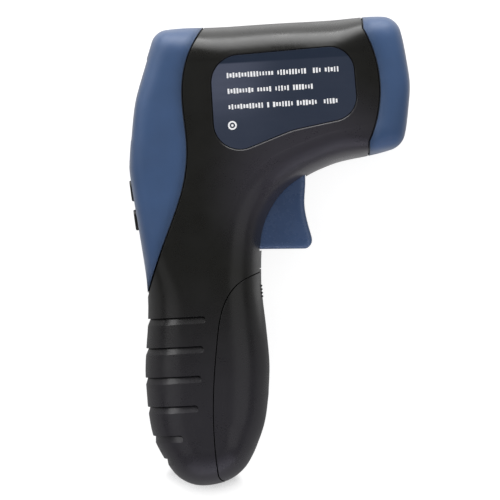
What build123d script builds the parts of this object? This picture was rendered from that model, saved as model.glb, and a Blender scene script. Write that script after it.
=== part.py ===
from build123d import *

import math
import os

# Hand-held optical tachometer, lying on its left side.
# The barrel points along +X, +Y is up in use, +Z is the right side of the case.
# Every piece is built about the middle plane of the case and lifted by case_half when it is written out.

# Case
case_half = 20.0
wall = 2.2
roundness = 2.3
cover_fullness = 4.0
top_y = 77.8
bottom_y = -76.2
nose_x = 48.4
rear_x = -48.2
barrel_rounding = 12.0
grip_rounding = 14.5
parting_width, parting_depth = 0.3, 0.3

# Seams
groove_width = 0.6
groove_depth = 0.8
groove_rise, groove_rise_half = 0.3, 4.0
door_gap = 0.35
tab_rise, tab_half = 1.3, 7.0
lip_gap = 0.3
lip_thickness = 1.1
lip_reach = 2.2

# Grip
groove_pitch = 9.9
groove_first_y = -19.6
groove_count = 6
grip_groove_depth = 0.85
grip_groove_height = 2.4

# Trigger
pivot_x, pivot_y = 6.9, 28.6
pin_radius = 1.5
pin_clearance = 0.06
hub_radius = 4.0
trigger_half = 7.8
trigger_gap = 0.35
trigger_shell = 1.8
trigger_edge = 1.7
nib_height, nib_width = 3.0, 2.4
contact_reach = 20.0
contact_angle = 38.0

# Trigger switch
switch_depth, switch_width, switch_thick = 7.0, 13.0, 6.4
plunger_radius = 1.2
plunger_free = 3.2
plunger_grip = 2.0
plunger_travel = 2.1
plunger_play = 0.15
peg_radius = 1.0
pad_radius = 2.1
peg_spacing = 9.5

# Trigger spring
spring_y = 6.8
spring_radius = 2.0
spring_wire = 0.4
spring_front_x = 2.5
spring_back_x = -11.2
spring_turns = 7

# Battery door hinge
hinge_x, hinge_y = -21.0, -73.0
hinge_edge = 3.5
hinge_pin_radius = 0.7
lug_radius = 1.6
knuckle_radius = 1.9
knuckle_half = 5.0
lug_gap = 0.2
lug_thick = 2.0

# Battery
battery_depth, battery_width, battery_height = 17.5, 26.5, 46.4
battery_back_x = -35.0
battery_foot_y = -62.0
small_stud_radius, large_stud_radius, stud_height = 2.8, 4.2, 2.6
rib = 1.6

# Optics
lens_y = 49.0
laser_y = 65.5
lens_radius = 8.2
lens_edge = 1.5
lens_rim = 0.9
lens_bulge = 1.35
lens_sink = 1.5
housing_radius = 9.4
laser_radius = 3.0
laser_length = 15.0
bezel_front_x = 43.8
bezel_thick = 2.4
bezel_centre_y = 54.5
bezel_height, bezel_width, bezel_corner = 34.0, 25.0, 9.0
bezel_ledge = 1.7
housing_length = 17.0
housing_web = 1.2
board_thick = 1.6

# Display
display_x, display_y, display_lean = -43.1, 54.5, 14.6
window_height, window_width, window_thick = 28.0, 25.0, 1.2
window_sink = 1.6
window_ledge = 1.5
glass_height, glass_width, glass_thick = 24.0, 23.0, 2.0
main_height, main_width = 38.0, 30.0
main_depth = 11.5
post_radius = 2.1

# Keys
key_x, key_y, key_lean = -47.15, 19.1, -4.4
key_height, key_width, key_corner = 7.0, 13.0, 2.4
key_spacing = 9.96
key_proud = 0.7
key_travel = 0.5
key_gap = 0.3
key_flange = 0.8
key_pad = 3.2
button_body = 3.4
button_cap = 0.8
key_board_height, key_board_width = 24.0, 31.0

# Screws
screw_radius = 1.25
screw_head_radius = 2.7
screw_head = 1.9
screw_length = 22.0
screw_play = 0.03
screw_seat = 7.0
boss_radius = 3.3
boss_foot_radius = 4.3
small_screw_radius = 0.9
small_head_radius, small_head = 1.6, 1.1
SCREWS = [(-8.0, 68.3), (18.0, 68.3), (19.0, 38.0), (-20.0, 28.5), (-33.5, -3.0), (-36.0, -67.0)]

# Side plate
label_sink = 0.7
label_thick = 0.45
label_gap = 0.12
label_bevel = 0.45

# Corners of the side outline, clockwise from the rear of the barrel's top: place, radius,
# step to the matching corner of the flat side, radius there.
OUTLINE = [
    (rear_x + 11.6, top_y, 6.2, 8.5, -barrel_rounding, 4.0),
    (nose_x - 2.9, top_y, 6.8, -6.5, -barrel_rounding, 3.0),
    (nose_x + 0.6, 54.0, 39.7, -6.5, 0.0, 20.0),
    (nose_x - 3.5, 33.4, 6.6, -6.5, 9.0, 3.0),
    (21.0, 29.3, 38.0, -2.0, 10.0, 45.0),
    (-3.7, 19.7, 29.3, -9.5, 9.0, 34.0),
    (-6.0, -10.2, 44.0, -13.5, 2.0, 50.0),
    (-4.5, -38.0, 69.0, -16.0, 0.0, 60.0),
    (-7.2, -57.6, 41.0, -grip_rounding, 2.5, 22.0),
    (-16.5, bottom_y, 16.7, -6.0, 12.5, 4.0),
    (-36.4, bottom_y - 1.8, 13.5, 6.0, 13.5, 4.0),
    (-46.3, -60.1, 28.8, grip_rounding, 4.0, 18.0),
    (-47.3, -38.0, 64.0, 16.5, 0.0, 50.0),
    (-44.0, -12.0, 100.0, 13.5, 0.0, 90.0),
    (rear_x - 0.1, 31.7, 22.3, 8.0, 0.0, 20.0),
    (rear_x + 3.0, 54.0, 58.0, 7.0, -1.0, 40.0),
]

REAR_SEAM = [(-17.0, 82.0), (-21.3, 76.1), (-26.2, 67.3), (-28.7, 53.2), (-28.1, 38.0),
             (-29.8, 25.7), (-37.4, 6.4), (-44.4, -10.9), (-47.0, -17.5)]
TRIGGER_FRONT = [(11.3, 28.6), (10.95, 22.3), (10.3, 16.0), (10.75, 11.0), (11.75, 6.2)]
TRIGGER_TOE = [(12.12, 4.2), (11.93, 2.76), (10.9, 1.46), (9.4, 0.97)]
TRIGGER_SLOT = [(11.5, 36.0), (11.5, 12.0), (0.0, 1.2), (-9.2, 1.2), (-9.2, 11.0), (-5.5, 18.0),
                (-1.5, 24.0), (3.5, 30.0), (3.5, 36.0)]
DOOR_SEAM = [(0.0, -4.0), (-6.5, -6.0), (-14.9, -10.3), (-19.4, -17.0), (-22.2, -29.0),
             (-24.0, -42.0), (-25.0, -57.0)]
LABEL = [(-18.7, 67.0, 9.5), (29.4, 68.4, 8.5), (29.9, 44.4, 8.0), (7.5, 40.9, 30.0), (-18.7, 32.0, 8.9)]


# Body of the case

def corner_arcs(points, radii):
    """Start, centre, end and turn of the arc that rounds each corner."""
    arcs = []
    previous, following = points[-1:] + points[:-1], points[1:] + points[:1]
    for before, here, after, radius in zip(previous, points, following, radii):
        back, onward = (before - here).normalized(), (after - here).normalized()
        half = math.radians(back.get_angle(onward)) / 2
        reach = radius / math.tan(half)
        centre = here + (back + onward).normalized() * (radius / math.sin(half))
        start, end = here + back * reach, here + onward * reach
        turn = (start - centre).get_signed_angle(end - centre, Vector(0, 0, 1))
        arcs.append((start, centre, end, turn))
    return arcs


def stations(arcs, counts, spans):
    """Points round a filleted outline, a fixed number on each arc and each straight."""
    points = []
    for index, (start, centre, end, turn) in enumerate(arcs):
        for step in range(counts[index] + 1):
            points.append(centre + (start - centre).rotate(Axis.Z, turn * step / counts[index]))
        following = arcs[(index + 1) % len(arcs)][0]
        for step in range(1, spans[index]):
            points.append(end + (following - end) * (step / spans[index]))
    return points


def side_rings(inset):
    """The side outline moved inward by inset, and the outline of the flat side, point for point."""
    corners = [Vector(x, y) for x, y, radius, dx, dy, flat in OUTLINE]
    crests = [Vector(x + dx, y + dy) for x, y, radius, dx, dy, flat in OUTLINE]
    outer_arcs = corner_arcs(corners, [row[2] for row in OUTLINE])
    crest_arcs = corner_arcs(crests, [row[5] for row in OUTLINE])
    counts = [max(2, math.ceil(abs(turn) / 18)) for start, centre, end, turn in outer_arcs]
    starts = [arc[0] for arc in outer_arcs[1:] + outer_arcs[:1]]
    spans = [max(1, round((start - arc[2]).length / 14)) for arc, start in zip(outer_arcs, starts)]
    outer = stations(outer_arcs, counts, spans)
    crest = stations(crest_arcs, counts, spans)
    moved = []
    for before, here, after in zip(outer[-1:] + outer[:-1], outer, outer[1:] + outer[:1]):
        along = (after - here).normalized() + (here - before).normalized()
        moved.append(here + Vector(along.Y, -along.X).normalized() * inset)
    return moved, crest


def ease(share):
    """Smooth step from 0 to 1, level at both ends."""
    share = min(max(share, 0.0), 1.0)
    return share * share * (3 - 2 * share)


def fullness(point):
    """Exponent of the cross-section at a place on the side outline: fuller at both covers."""
    rear = ease((-25.0 - point.X) / 12) * ease((point.Y + 15.0) / 25)
    nose = ease((point.X - 26.0) / 10)
    return roundness + (cover_fullness - roundness) * max(rear, nose)


def case_form(inset):
    """Solid inside the case surface, moved inward by inset."""
    outer, crest = side_rings(inset)
    powers = [fullness(point) for point in outer]
    knots = [0.0]
    for a, b, c, d in zip(outer, outer[1:] + outer[:1], crest, crest[1:] + crest[:1]):
        knots.append(knots[-1] + (b - a).length + (d - c).length)
    sections = []
    steps = 5
    for level in range(-steps, steps + 1):
        angle = math.pi / 2 * level / steps
        height = abs(math.sin(angle)) ** (2 / roundness)
        z = (case_half - inset) * math.copysign(height, angle)
        inward = [1 - max(1 - height ** power, 0.0) ** (1 / power) for power in powers]
        flat = [p + (q - p) * share for p, q, share in zip(outer, crest, inward)]
        ring = [Vector(p.X, p.Y, z) for p in flat]
        sections.append(Wire([Edge.make_spline(ring, periodic=True, parameters=knots)]))
    return Solid.make_loft(sections)


def prism(outline, low=-30.0, high=30.0):
    """Upright prism over a closed outline, from low to high."""
    return Pos(0, 0, low) * extrude(make_face(outline), high - low)


def block(x0, x1, y0, y1, z0, z1):
    """Box between two opposite corners."""
    return Pos((x0 + x1) / 2, (y0 + y1) / 2, (z0 + z1) / 2) * Box(x1 - x0, y1 - y0, z1 - z0)


def post(x, y, radius, z0, z1):
    """Upright cylinder from z0 to z1."""
    return Pos(x, y, (z0 + z1) / 2) * Cylinder(radius, z1 - z0)


def barrel(y, radius, x0, x1):
    """Cylinder along the optical axis from x0 to x1."""
    return Pos((x0 + x1) / 2, y, 0) * Rot(0, 90, 0) * Cylinder(radius, x1 - x0)


def face_plane(x, y, lean):
    """Plane on the rear face: X up along the face, Z out of it."""
    angle = math.radians(lean)
    return Plane(origin=(x, y, 0), x_dir=(math.sin(angle), math.cos(angle), 0),
                 z_dir=(-math.cos(angle), math.sin(angle), 0))


def slab(plane, height, width, high, low, up=0.0, side=0.0, corner=0.0):
    """Plate on a face plane between two depths, optionally with rounded corners."""
    shape = RectangleRounded(height, width, corner) if corner else Rectangle(height, width)
    return plane * Pos(up, side, low) * extrude(shape, high - low)


def stud(plane, radius, high, low, up, side):
    """Cylinder square to a face plane between two depths."""
    return plane * Pos(up, side, (high + low) / 2) * Cylinder(radius, high - low)


def rear_area(shift=0.0):
    """Everything behind the rear seam, moved forward by shift."""
    seam = Spline(*[(x + shift, y) for x, y in REAR_SEAM])
    back = Polyline(seam @ 1, (-80.0, (seam @ 1).Y), (-80.0, 82.0), seam @ 0)
    return prism(seam + back)


def nose_area(shift=0.0):
    """Everything in front of the nose seam, moved back by shift."""
    arc = ThreePointArc((33.3 - shift, 73.6), (37.8 - shift, 54.5), (33.1 - shift, 35.5))
    foot, top = (32.8 - shift, 20.0), (33.5 - shift, 90.0)
    rest = Polyline(arc @ 1, foot, (80.0, 20.0), (80.0, 90.0), top, arc @ 0)
    return prism(arc + rest)


def door_area(grow=0.0):
    """The front of the grip covered by the battery door, grown by grow."""
    edge = hinge_edge + grow
    seam = Spline(*[(x - 0.85 * grow, y + 0.53 * grow) for x, y in DOOR_SEAM], (hinge_x - edge, hinge_y))
    half = edge * math.sqrt(0.5)
    arc = ThreePointArc(seam @ 1, (hinge_x - half, hinge_y - half), (hinge_x, hinge_y - edge))
    rest = Polyline(arc @ 1, (hinge_x, -95.0), (20.0, -95.0), (20.0, (seam @ 0).Y), seam @ 0)
    return prism(seam + arc + rest)


def door_tab(grow=0.0):
    """Tab in the middle of the door's top edge, which closes the view through the gap, grown by grow."""
    half = tab_half + grow
    return door_area(tab_rise + grow) & block(-9, 20, -9, 5, -half, half)


def seam_grooves():
    """Cutters for the channel along the rear and nose seams, shallow near the middle plane."""
    half = groove_width / 2
    bands = [rear_area(half) - rear_area(-half), nose_area(half) - nose_area(-half)]
    middle = block(-90, 90, -110, 110, -groove_rise_half, groove_rise_half)
    floor, rise = case_form(groove_depth), case_form(groove_rise)
    return [band - [middle, floor] for band in bands] + [(band & middle) - rise for band in bands]


def grip_cuts():
    """Finger grooves round the back of the grip: a steep upper wall over a long lower bevel."""
    surface = case_form(0.0)
    floor = case_form(grip_groove_depth)
    ends = [-25.4, -26.6, -28.0, -29.6, -35.3, -38.8]
    cuts = []
    for index, end in enumerate(ends[:groove_count]):
        top = groove_first_y - groove_pitch * index * (1.0 if index < 5 else 0.96)
        foot = top - grip_groove_height
        deep = floor.intersect(Plane(origin=(0, top, 0), z_dir=(0, 1, 0)) * Rectangle(200, 200))
        shallow = surface.intersect(Plane(origin=(0, foot, 0), z_dir=(0, 1, 0)) * Rectangle(200, 200))
        wedge = Solid.make_loft([deep.face().outer_wire(), shallow.face().outer_wire()], True)
        middle = (top + foot) / 2
        half = grip_groove_height / 2
        slot = block(-80, end - half, foot, top, -30, 30) + post(end - half, middle, half, -30, 30)
        cuts.append(slot - wedge)
    return cuts


# Shells

def right_side():
    """Everything right of the middle plane."""
    return block(-90, 90, -110, 110, 0, 40)


def outer_form():
    """Solid inside the outer surface, with the seam channels and the finger grooves."""
    return case_form(0.0) - seam_grooves() - grip_cuts()


def lip_band():
    """Strips along the seams of the covers, outside the tongues' inner surface, right half."""
    own, far = 3.0, lip_reach + door_gap
    strips = (rear_area(own) - rear_area(-far)) + (nose_area(own) - nose_area(-far))
    strips += door_area(own) - door_area(-far)
    strips = (strips & right_side()) - post(hinge_x, hinge_y, hinge_edge + 1.2, -30, 30)
    return strips - case_form(wall + lip_gap + lip_thickness)


def covered():
    """Room that the rear cover, the nose cap and the battery door take up outside the tongues."""
    return (rear_area() + nose_area() + door_area() + door_tab()) - case_form(wall + lip_gap)


def parting_groove():
    """Fine step along the parting line of the shells, right half."""
    return block(-90, 90, -110, 110, -1, parting_width / 2) - case_form(parting_depth)


def battery_bay():
    """Back and top walls, foot shelf and side ribs of the battery bay, right half."""
    back = battery_back_x
    top = battery_foot_y + battery_height + 6.4
    foot = battery_foot_y - rib - 0.4
    walls = block(back - rib, back, foot, top + rib, 0, case_half)
    walls += block(back - rib, -13.5, top, top + rib, 0, case_half)
    walls += block(-46, back + 9, foot, battery_foot_y, 0, case_half)
    side = battery_width / 2 + 0.1
    for y in (battery_foot_y + 11, battery_foot_y + 35):
        walls += block(back - 1, back + 9, y, y + rib, side, case_half)
    return walls


def hinge_arm():
    """Shelf under the battery and the arm that carries the pin of the battery door, right half."""
    inner = knuckle_half + lug_gap
    outer = inner + lug_thick
    arm = block(battery_back_x, -17.0, battery_foot_y - rib - 0.4, battery_foot_y, 0, outer)
    arm += block(hinge_x - 1.1, hinge_x + 1.1, hinge_y, battery_foot_y - 1, inner, outer)
    arm += post(hinge_x, hinge_y, lug_radius, inner, outer)
    return arm - post(hinge_x, hinge_y, hinge_pin_radius + screw_play, inner - 1, outer + 1)


def contact_frame():
    """Place where the trigger meets the plunger, and the way the plunger moves."""
    angle = math.radians(contact_angle)
    place = Vector(pivot_x - contact_reach * math.sin(angle), pivot_y - contact_reach * math.cos(angle))
    onward = Vector(-math.cos(angle), math.sin(angle))
    return place, onward


def switch_plane():
    """Plane on the face of the trigger switch: Z along the plunger, X across it."""
    place, onward = contact_frame()
    return Plane(origin=place + onward * plunger_free, x_dir=(onward.Y, -onward.X, 0), z_dir=onward)


def peg_places():
    """Centres of the two pegs that hold the trigger switch."""
    plane = switch_plane()
    half, depth = peg_spacing / 2, switch_depth / 2
    return [plane.from_local_coords(Vector(across, 0, depth)) for across in (-half, half)]


def trigger_bearing():
    """Bearing boss of the trigger pin and stop of the trigger spring, right half."""
    boss = post(pivot_x, pivot_y, hub_radius + 0.8, trigger_half + trigger_gap, case_half)
    stop = block(spring_back_x - rib, spring_back_x, spring_y - 4.4, spring_y + 2.5, 0, case_half)
    return boss + stop


def optic_cradles():
    """Ribs that hold the tube of the optics, right half."""
    top = lens_y + housing_radius - 1.4
    ribs = Part()
    for x in (housing_back() + rib, bezel_back() - 10.4):
        ribs += block(x, x + rib, lens_y - housing_radius - 2, top, 0, case_half)
    return ribs - barrel(lens_y, housing_radius, 20, 40)


def trigger_slot():
    """Opening in the crook for the trigger, and the hole for its pin."""
    half = trigger_half + trigger_gap
    window = prism(Polyline(*TRIGGER_SLOT, close=True), -half, half)
    return [window, post(pivot_x, pivot_y, pin_radius + screw_play, -half - 5.1, half + 5.1)]


def label_outline(shrink=0.0):
    """Rounded outline of the side plate, drawn in by shrink."""
    corners = [(x, y) for x, y, radius in LABEL]
    outline = FilletPolyline(*corners, radius=[radius for x, y, radius in LABEL], close=True)
    return offset(make_face(outline), -shrink) if shrink else make_face(outline)


def shell_posts():
    """Screw posts with broad feet and the pads of the switch, right half."""
    posts = Part() + [post(x, y, boss_radius, 0, case_half) for x, y in SCREWS]
    posts += [post(x, y, boss_foot_radius, case_half - screw_seat - 1.8, case_half) for x, y in SCREWS]
    return posts + [post(peg.X, peg.Y, pad_radius, switch_thick / 2, case_half) for peg in peg_places()]


def shell_half(outer, room):
    """Right half of the case with all its fittings, open where the covers go."""
    inside = battery_bay() + trigger_bearing() + optic_cradles() + shell_posts()
    inside -= [rear_area(0.3), nose_area(0.3), door_area(0.3)]
    cavity = (room & right_side()) - [inside, lip_band()]
    half = (outer & right_side()) - cavity
    return (half - covered() - trigger_slot() - parting_groove()) + hinge_arm()


def right_shell(half):
    """Right shell: pilot holes in the posts, pegs for the switch, recess for the side plate."""
    foot = switch_thick / 2
    shell = half + [post(peg.X, peg.Y, peg_radius, -foot - 1.5, foot + 1) for peg in peg_places()]
    depth = screw_length - case_half + screw_seat + 1
    pilots = [post(x, y, screw_radius + screw_play, -1, depth) for x, y in SCREWS]
    recess = Pos(0, 0, case_half - label_sink) * extrude(label_outline(), 5)
    bevel = Pos(0, 0, case_half - label_bevel) * extrude(label_outline(), 2 * label_bevel, taper=-45)
    return shell - pilots - recess - bevel


def left_shell(half):
    """Left shell: counterbored posts and holes for the ends of the switch's pegs."""
    floor = case_half - screw_seat
    holes = [post(x, y, screw_radius + screw_play, -1, case_half + 1) for x, y in SCREWS]
    holes += [post(x, y, screw_head_radius + 0.2, floor, case_half + 1) for x, y in SCREWS]
    holes += [post(peg.X, peg.Y, peg_radius + 0.05, 0, switch_thick / 2 + 1.7) for peg in peg_places()]
    return mirror(half - holes, Plane.XY)


def bezel_back():
    """Place of the back of the front bezel along the optical axis."""
    return bezel_front_x - bezel_thick


def housing_back():
    """Place of the back of the sensor housing along the optical axis."""
    return bezel_back() - housing_length


# Covers

def display_plane():
    """Plane on the display part of the rear face."""
    return face_plane(display_x, display_y, display_lean)


def key_plane():
    """Plane on the key part of the rear face."""
    return face_plane(key_x, key_y, key_lean)


def main_posts():
    """Places of the four posts that carry the main board."""
    up, side = main_height / 2 - 2.6, main_width / 2 - 2.6
    return [(i * up, j * side) for i in (-1, 1) for j in (-1, 1)]


def key_posts():
    """Places of the two posts that carry the key board."""
    return [(0, side * (key_board_width / 2 - 2.3)) for side in (-1, 1)]


def key_places():
    """Centres of both keys up the rear face, upper key first."""
    return [key_spacing / 2, -key_spacing / 2]


def key_depth():
    """Depth of the key board below the rear face."""
    return key_pad + key_flange + key_travel + 0.05 + button_cap + button_body


def window_depth():
    """Depth of the ledge under the display window."""
    return window_sink + window_thick


def rear_cover(outer, room):
    """Blue rear cover with the display opening, the key openings and the posts for both boards."""
    face, keys = display_plane(), key_plane()
    inside = slab(face, window_height + 6, window_width + 6, 8, -window_depth() - window_ledge)
    inside += [stud(face, post_radius, -wall, -main_depth, up, side) for up, side in main_posts()]
    inside += slab(keys, key_spacing + key_height + 9, key_width + 7, -1.2, -key_pad)
    inside += [stud(keys, post_radius, -1.2, -key_depth(), up, side) for up, side in key_posts()]
    ledge = 2 * window_ledge
    cuts = [slab(face, window_height + 0.1, window_width + 0.1, 20, -window_depth())]
    cuts.append(slab(face, window_height - ledge, window_width - ledge, 20, -9))
    height, width = key_height + 2 * key_gap, key_width + 2 * key_gap
    cuts += [slab(keys, height, width, 9, -9, up, 0, key_corner + key_gap) for up in key_places()]
    bore = small_screw_radius + screw_play
    cuts += [stud(face, bore, -main_depth + 6, -main_depth - 1, up, side) for up, side in main_posts()]
    cuts += [stud(keys, bore, -key_depth() + 5, -key_depth() - 1, up, side) for up, side in key_posts()]
    return ((outer & rear_area()) - (room - inside)) - cuts


def bezel_block(grow, x0, x1, ledge=0.0):
    """Rounded block across the optical axis with the outline of the bezel."""
    height = bezel_height - 2 * ledge + 2 * grow
    width = bezel_width - 2 * ledge + 2 * grow
    plane = Plane(origin=(x0, bezel_centre_y, 0), x_dir=(0, 1, 0), z_dir=(1, 0, 0))
    return plane * extrude(RectangleRounded(height, width, bezel_corner - ledge), x1 - x0)


def nose_cap(outer, room):
    """Blue nose cap with a stepped opening for the bezel."""
    back = bezel_back()
    up, side = bezel_height / 2 + 2, bezel_width / 2 + 2
    frame = block(back - 2.5, 60, bezel_centre_y - up, bezel_centre_y + up, -side, side)
    cap = (outer & nose_area()) - (room - frame)
    return cap - [bezel_block(0.05, back, 60), bezel_block(0.0, 30, 60, bezel_ledge)]


def battery_door(outer, room):
    """Front of the grip with hinge knuckle and stiffening ribs."""
    inside = block(hinge_x, hinge_x + 6, hinge_y - 5, hinge_y, -knuckle_half, knuckle_half)
    for y in (-28.0, -40.0, -52.0):
        inside += block(battery_back_x + battery_depth + 0.1, 0, y, y + rib, -12, 12)
    door = (outer & (door_area(-door_gap) + door_tab(-door_gap))) - (room - inside)
    door += post(hinge_x, hinge_y, knuckle_radius, -knuckle_half, knuckle_half)
    lug_end = knuckle_half + 2 * lug_gap + lug_thick
    cuts = [post(hinge_x, hinge_y, hinge_pin_radius + pin_clearance, -lug_end, lug_end)]
    cuts.append(post(hinge_x, hinge_y, lug_radius + 0.3, knuckle_half, lug_end))
    cuts.append(post(hinge_x, hinge_y, lug_radius + 0.3, -lug_end, -knuckle_half))
    return door - cuts


# Trigger group

def trigger_front():
    """Front edge of the trigger, rounded into its foot."""
    return Spline(*TRIGGER_FRONT, *TRIGGER_TOE, tangents=[(-0.05, -1.0), (-1.0, 0.05)])


def trigger_block():
    """Outside of the trigger, with its front and foot edges rounded."""
    front = trigger_front()
    foot_rear = (-6.6, 1.77)
    rear = Spline(foot_rear, (-5.8, 8.5), (-3.2, 15.5), (0.8, 22.0), (3.6, 28.6))
    foot = Line(front @ 1, foot_rear)
    outline = make_face(front + foot + rear + Line(rear @ 1, front @ 0))
    whole = Pos(0, 0, -trigger_half) * extrude(outline, 2 * trigger_half)
    rims = [edge for edge in whole.edges() if abs(edge.center().Z) > trigger_half - 0.01]
    return fillet([edge for edge in rims if edge.center().X > 0.5 and edge.center().Y < 24], trigger_edge)


def trigger_room():
    """Hollow of the trigger, open to the rear and to the top."""
    front = Spline(*[(x - trigger_shell, y) for x, y in TRIGGER_FRONT])
    foot, back, top = 0.9 + trigger_shell, -12.0, 34.0
    lower = Polyline(front @ 1, ((front @ 1).X, foot + 1), ((front @ 1).X - 1, foot), (back, foot + 1.1))
    upper = Polyline((back, foot + 1.1), (back, top), ((front @ 0).X, top), front @ 0)
    half = trigger_half - trigger_shell
    return prism(front + lower + upper, -half, half)


def trigger():
    """Hollow trigger with hub, middle rib, spring seat and the nib that meets the switch."""
    whole = trigger_block()
    half = trigger_half - trigger_shell
    place, onward = contact_frame()
    nib = Plane(origin=place - onward * nib_height / 2, x_dir=(onward.Y, -onward.X, 0), z_dir=onward)
    ribs = block(-12, 12, spring_y + 3.2, 26.0, -rib / 2, rib / 2)
    ribs += block(spring_front_x, spring_front_x + rib, 2.0, spring_y + 3.6, -half - 1, half + 1)
    body = (whole - trigger_room()) + (ribs & whole) + nib * Box(3.0, nib_width, nib_height)
    body += post(pivot_x, pivot_y, hub_radius, -trigger_half, trigger_half)
    return body - post(pivot_x, pivot_y, pin_radius + pin_clearance, -20, 20)


def switch_plunger():
    """Plunger of the trigger switch with a rounded tip."""
    reach = plunger_free - plunger_play
    stem = Pos(0, 0, (plunger_grip - reach) / 2) * Cylinder(plunger_radius, reach + plunger_grip)
    return switch_plane() * fillet(stem.faces().sort_by(Axis.Z)[0].edges(), 0.5)


def trigger_switch():
    """Body of the trigger switch with plunger bore and two mounting holes."""
    plane = switch_plane()
    body = plane * Pos(0, 0, switch_depth / 2) * Box(switch_width, switch_thick, switch_depth)
    depth = plunger_grip + plunger_travel + 0.4
    holes = [plane * Pos(0, 0, depth / 2 - 0.5) * Cylinder(plunger_radius + 0.3, depth + 1)]
    holes += [post(peg.X, peg.Y, peg_radius + 0.05, -9, 9) for peg in peg_places()]
    pins = [plane * Pos(side * 5.0, 0, switch_depth + 1.6) * Box(0.6, 2.4, 3.4) for side in (-1, 0, 1)]
    return (body - holes) + pins


def trigger_spring():
    """Coil spring between the stop in the case and the seat in the trigger."""
    length = spring_front_x - spring_back_x - 2 * spring_wire
    path = Helix(length / spring_turns, length, spring_radius)
    ring = Plane(origin=path @ 0, z_dir=path % 0) * Circle(spring_wire)
    coil = sweep(ring, path, is_frenet=True)
    return Pos(spring_back_x + spring_wire, spring_y, 0) * Rot(0, 90, 0) * coil


# Power

def battery_studs(grow=0.0):
    """Both snap terminals on the battery's top, grown by grow."""
    x = battery_back_x + battery_depth / 2
    y = battery_foot_y + battery_height
    studs = []
    for side, radius in ((-6.35, small_stud_radius), (6.35, large_stud_radius)):
        stand = Rot(90, 0, 0) * Cylinder(radius + grow, stud_height + 2 * grow)
        studs.append(Pos(x, y + stud_height / 2, side) * stand)
    return studs


def battery():
    """Nine-volt block with its two snap terminals."""
    x = battery_back_x + battery_depth / 2
    y = battery_foot_y + battery_height / 2
    body = Pos(x, y, 0) * Box(battery_depth, battery_height, battery_width)
    return fillet(body.edges().filter_by(Axis.Y), 2.2) + battery_studs()


def battery_snap():
    """Connector pressed onto both terminals."""
    x = battery_back_x + battery_depth / 2
    y = battery_foot_y + battery_height
    body = Pos(x, y + 2.1, 0) * Box(12.8, 4.2, battery_width - 1)
    return fillet(body.edges().filter_by(Axis.Y), 3.0) - battery_studs(0.05)


def door_pin():
    """Hinge pin of the battery door."""
    half = knuckle_half + lug_gap + lug_thick
    return post(hinge_x, hinge_y, hinge_pin_radius, -half, half)


def trigger_pin():
    """Pin the trigger turns on."""
    half = trigger_half + trigger_gap + 5.0
    return post(pivot_x, pivot_y, pin_radius, -half, half)


# Optics

def front_bezel():
    """Black front plate with the lens opening, the beam opening and a collar behind the lens opening."""
    back = bezel_back()
    bore = lens_radius - lens_rim
    plate = bezel_block(0.0, back, bezel_front_x)
    plate = chamfer(plate.faces().sort_by(Axis.X)[-1].edges(), 0.4)
    plate += barrel(lens_y, lens_radius - 0.05, back - lens_sink, back + 1)
    plate -= barrel(lens_y, bore, 30, 60)
    flare = Plane(origin=(bezel_front_x, lens_y, 0), x_dir=(0, 1, 0), z_dir=(-1, 0, 0))
    plate -= flare * Pos(0, 0, lens_rim / 2) * Cone(lens_radius, bore, lens_rim)
    return plate - barrel(laser_y, 1.6, 30, 60)


def receiving_lens():
    """Glass lens with a flat rim, domed on both faces."""
    front = bezel_back() - lens_sink
    chord = lens_radius - lens_rim - 0.1
    curve = (chord ** 2 + lens_bulge ** 2) / (2 * lens_bulge)
    domes = barrel(lens_y, chord + 0.3, front - 5, front + 5)
    domes = domes & Pos(front + lens_bulge - curve, lens_y, 0) * Sphere(curve)
    domes = domes & Pos(front - lens_edge - lens_bulge + curve, lens_y, 0) * Sphere(curve)
    return domes + barrel(lens_y, lens_radius, front - lens_edge, front)


def sensor_housing():
    """Tube that holds the lens, the laser and the photodiode, with a flange for its board."""
    front, back = bezel_back(), housing_back()
    body = barrel(lens_y, housing_radius, back, front)
    body += barrel(laser_y, laser_radius + 0.8, back, front)
    web_foot, web_top = lens_y + housing_radius - 1, laser_y - laser_radius
    body += block(back, front, web_foot, web_top, -housing_web, housing_web)
    low, high = lens_y - housing_radius, laser_y + laser_radius + 0.8
    body += block(back, back + rib, low, high, -housing_radius, housing_radius)
    body += [sensor_post(side, small_screw_radius + 1.0, back, back + 6) for side in (-1, 1)]
    rim = front - lens_sink - lens_edge
    cuts = [barrel(lens_y, lens_radius + 0.03, rim, front + 1)]
    cuts.append(barrel(lens_y, lens_radius - lens_rim, back + 2.6, rim + 0.1))
    cuts.append(barrel(lens_y, 2.8, back - 1, back + 3))
    cuts.append(barrel(laser_y, laser_radius + 0.03, back - 1, front + 1))
    cuts += [sensor_post(side, small_screw_radius + screw_play, back - 1, back + 5.2) for side in (-1, 1)]
    return body - cuts


def sensor_post(side, radius, x0, x1):
    """Cylinder along the optical axis at one of the sensor board's screws."""
    y = (lens_y + housing_radius + laser_y) / 2
    return Pos(0, 0, side * 6.6) * barrel(y, radius, x0, x1)


def laser_module():
    """Brass laser barrel with a stepped aperture."""
    front = bezel_back()
    body = barrel(laser_y, laser_radius, front - laser_length, front)
    return body - [barrel(laser_y, 1.8, front - 2.0, front + 1), barrel(laser_y, 1.1, front - 3.5, front)]


def photodiode():
    """Photodiode in a round can with a domed top."""
    back = housing_back()
    can = barrel(lens_y, 2.7, back, back + 0.7) + barrel(lens_y, 2.3, back, back + 3.4)
    return fillet(can.edges().sort_by(Axis.X)[-1], 0.7)


def sensor_board():
    """Board behind the optics."""
    back = housing_back()
    low, high = lens_y - housing_radius, laser_y + laser_radius + 0.8
    board = block(back - board_thick, back, low, high, -housing_radius, housing_radius)
    return board - [sensor_post(side, small_screw_radius + 0.15, back - 5, back + 5) for side in (-1, 1)]


# Display and boards

def display_window():
    """Clear window over the display."""
    return slab(display_plane(), window_height, window_width, -window_sink, -window_depth())


def lcd_top():
    """Depth of the display glass."""
    return window_depth() + window_ledge


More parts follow.
